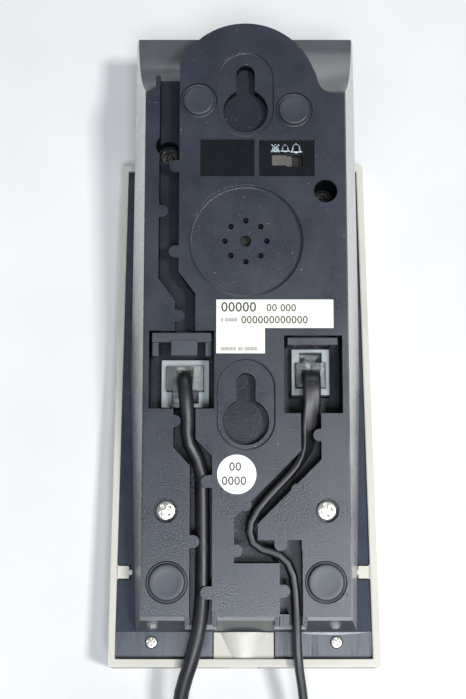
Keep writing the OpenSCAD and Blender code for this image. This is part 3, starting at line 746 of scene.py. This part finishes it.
feet_bm = bmesh.new()
for x, z, foot_width in FEET:
    spun(feet_bm, facing_rear(x, 0, z), foot_profile(foot_width / 2), 64)
bmesh.ops.recalc_face_normals(feet_bm, faces=feet_bm.faces)
finish_piece(mesh_object("rubber_foot_pads", feet_bm, foot_mat), "base", "foot_rubber", "rubber_feet")

# ---------------------------------------------------------------- print and window films


def strokes(name, lines, width, place, material, thick=0.04):
    """Thin printed lines: each of lines is a list of (x, y) in millimetres, drawn width millimetres wide."""
    bm = bmesh.new()
    ends = [pair for points in lines for pair in zip(points, points[1:])]
    for (x0, y0), (x1, y1) in ends:
        d = Vector((x1 - x0, y1 - y0)).normalized()
        e, o = d * width / 2, Vector((-d.y, d.x)) * width / 2
        quad = [(x0 - e.x + o.x, y0 - e.y + o.y), (x0 - e.x - o.x, y0 - e.y - o.y),
                (x1 + e.x - o.x, y1 + e.y - o.y), (x1 + e.x + o.x, y1 + e.y + o.y)]
        low = [bm.verts.new(place @ mm(x, y, 0)) for x, y in quad]
        top = [bm.verts.new(place @ mm(x, y, thick)) for x, y in quad]
        bm.faces.new(top)
        bm.faces.new(list(reversed(low)))
        for k in range(4):
            bm.faces.new((low[k], low[(k + 1) % 4], top[(k + 1) % 4], top[k]))
    bmesh.ops.recalc_face_normals(bm, faces=bm.faces)
    return mesh_object(name, bm, material, smooth=False)


def bell(s, cx):
    """The strokes of a bell s millimetres high, its middle at cx."""
    dome = [(0.34 * math.cos(a), 0.12 + 0.3 * math.sin(a)) for a in [math.pi * k / 8 for k in range(9)]]
    outline = [(0.52, -0.36), (0.36, -0.18), *dome, (-0.36, -0.18), (-0.52, -0.36)]
    rim = [(-0.56, -0.38), (0.56, -0.38)]
    clapper = [(-0.1, -0.46), (0.1, -0.46)]
    knob = [(0, 0.42), (0, 0.5)]
    return [[(cx + x * s, y * s) for x, y in points] for points in (outline, rim, clapper, knob)]


def printed(name, rows, place, material, thick=0.03):
    """Rows of plain figures: (text, size, x, y) in millimetres, as one thin mesh."""
    bm = bmesh.new()
    for text, size, x, y in rows:
        font = bpy.data.curves.new(name, "FONT")
        font.body = text
        font.size = size * MM
        font.offset = 0.012 * size * MM
        font.extrude = thick / 2 * MM
        font.resolution_u = 2
        shape = link(bpy.data.objects.new(name + "_text", font))
        bpy.context.view_layer.update()
        mesh = bpy.data.meshes.new_from_object(shape.evaluated_get(bpy.context.evaluated_depsgraph_get()))
        mesh.transform(place @ Matrix.Translation(mm(x, y, thick / 2)))
        bm.from_mesh(mesh)
        bpy.data.objects.remove(shape)
        bpy.data.curves.remove(font)
        bpy.data.meshes.remove(mesh)
    bmesh.ops.remove_doubles(bm, verts=bm.verts, dist=1e-7)
    bmesh.ops.recalc_face_normals(bm, faces=bm.faces)
    return mesh_object(name, bm, material, smooth=False)


def film(name, openings):
    """A window's dark film: each of openings is its X ends and its Z ends."""
    boxes = [(x0, x1, FILM_FRONT, FILM_BACK, z0, z1) for x0, x1, z0, z1 in openings]
    finish_piece(join_boxes(name, boxes, window_mat, 0.01), "base", "dark_plastic")


silent = bell(2.0, 7.9) + [[(7.0, -0.95), (8.8, 0.95)], [(7.0, 0.95), (8.8, -0.95)]]
icons = strokes("ringer_icons", silent + bell(2.0, 10.5) + bell(2.6, 13.4), 0.22,
                facing_rear(0, -0.66, 31.2), icon_mat)
finish_piece(icons, "base", "label_film")

PAPER = facing_rear(0, 0.15, 0)
label_rows = [("00000", 3.7, -6.5, -12.9), ("00 000", 2.8, 5.3, -12.8), ("0 00000", 1.3, -6.5, -15.5),
              ("000000000000", 2.9, -1.3, -16.0), ("000000 00 00000", 1.35, -6.6, -23.1)]
sticker_rows = [("00", 3.2, -4.4, -54.0), ("0000", 3.2, -6.3, -57.6)]
finish_piece(printed("label_figures", label_rows, PAPER, print_mat), "base", "label_film")
finish_piece(printed("sticker_figures", sticker_rows, PAPER, print_mat), "base", "label_film")

# The keypad's rows from the lowest up, each from its +X end.
KEY_ROWS = ((("star", "*"), ("0", "0"), ("hash", "#")), (("7", "7"), ("8", "8"), ("9", "9")),
            (("4", "4"), ("5", "5"), ("6", "6")), (("1", "1"), ("2", "2"), ("3", "3")))
for row, keys in enumerate(KEY_ROWS):
    for column, (key, mark) in zip((1, 0, -1), keys):
        place = HANDSET @ facing_rear(column * KEY_COLUMN, 1.4, FIRST_KEY_ROW + row * KEY_ROW)
        legend = printed("legend_" + key, [(mark, 4.2, -1.2, -1.45)], place, print_mat)
        finish_piece(legend, "key_" + key, "label_film")

film("window_left", [(-2.2, 12.0, 23.5, 33.7)])
film("window_right", [(-18.1, -15.3, 23.5, 33.5), (-6.8, -3.6, 23.5, 33.5), (-15.3, -6.8, 29.55, 33.5),
                      (-15.3, -6.8, 23.5, 26.15)])

# ---------------------------------------------------------------- stage and lights


def stage_material():
    """Pale matt table that is only there for a viewer behind the telephone, so that it hides nothing from the
    front and keeps no light from it."""
    n = Nodes("table_surface", (0.8, 0.8, 0.81), 0.7)
    cloud = n.ramp(n.noise(60, 3), (0.3, (0.6, 0.6, 0.605)), (0.7, (0.66, 0.66, 0.665)))
    n.out(cloud, None, n.bump(n.noise(3, 4, 0.6), 0.05, 0.05))
    clear = n.add("ShaderNodeBsdfTransparent")
    pick = n.add("ShaderNodeMixShader")
    from_front = n.add("ShaderNodeNewGeometry").outputs["Backfacing"]
    shadow = n.add("ShaderNodeLightPath").outputs["Is Shadow Ray"]
    n.join(n.math("MAXIMUM", from_front, shadow), pick.inputs[0])
    n.join(n.shader.outputs[0], pick.inputs[1])
    n.join(clear.outputs[0], pick.inputs[2])
    n.join(pick.outputs[0], n.tree.nodes["Material Output"].inputs["Surface"])
    return n.mat


def table_mesh():
    """One face that leans as the telephone does when it lies on its handset, and looks to the rear."""
    bm = bmesh.new()
    middle_y, middle_z = TABLE_AT
    corners = [(sx * TABLE_HALF, middle_y - TABLE_SLOPE * sz * TABLE_HALF, middle_z + sz * TABLE_HALF)
               for sx, sz in ((-1, -1), (-1, 1), (1, 1), (1, -1))]
    face = bm.faces.new([bm.verts.new(mm(*c)) for c in corners])
    face.normal_update()
    if face.normal.y < 0:
        face.normal_flip()
    return mesh_object("table", bm, stage_material(), smooth=False)


table = table_mesh()
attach(table, "handset")


def area_light(name, at, target, size, watts, color=WHITE):
    data = bpy.data.lights.new(name, "AREA")
    data.shape = "SQUARE"
    data.size = size
    data.energy = watts
    data.color = color
    obj = link(bpy.data.objects.new(name, data))
    obj.location = at
    obj.rotation_mode = "QUATERNION"
    obj.rotation_quaternion = (Vector(target) - Vector(at)).to_track_quat("-Z", "Y")


BODY_MIDDLE, LOWER_BODY = (0, 0, -0.02), (0, 0, -0.08)
area_light("key", (-0.46, 1.0, -0.12), BODY_MIDDLE, 0.15, 9.2, (1, 0.985, 0.96))
area_light("sheen", (-0.06, 1.15, -0.48), LOWER_BODY, 0.36, 11, (0.88, 0.94, 1))
area_light("top", (-0.2, 0.35, 1.4), BODY_MIDDLE, 0.9, 6, (0.95, 0.97, 1))
area_light("front_left", (0.9, -1.2, 0.7), BODY_MIDDLE, 1.0, 16)
area_light("front_right", (-0.9, -1.1, 0.2), BODY_MIDDLE, 1.0, 9)
world = bpy.data.worlds.new("studio")
world.use_nodes = True
world.node_tree.nodes["Background"].inputs["Color"].default_value = (0.9, 0.94, 1, 1)
world.node_tree.nodes["Background"].inputs["Strength"].default_value = 0.26
scene.world = world
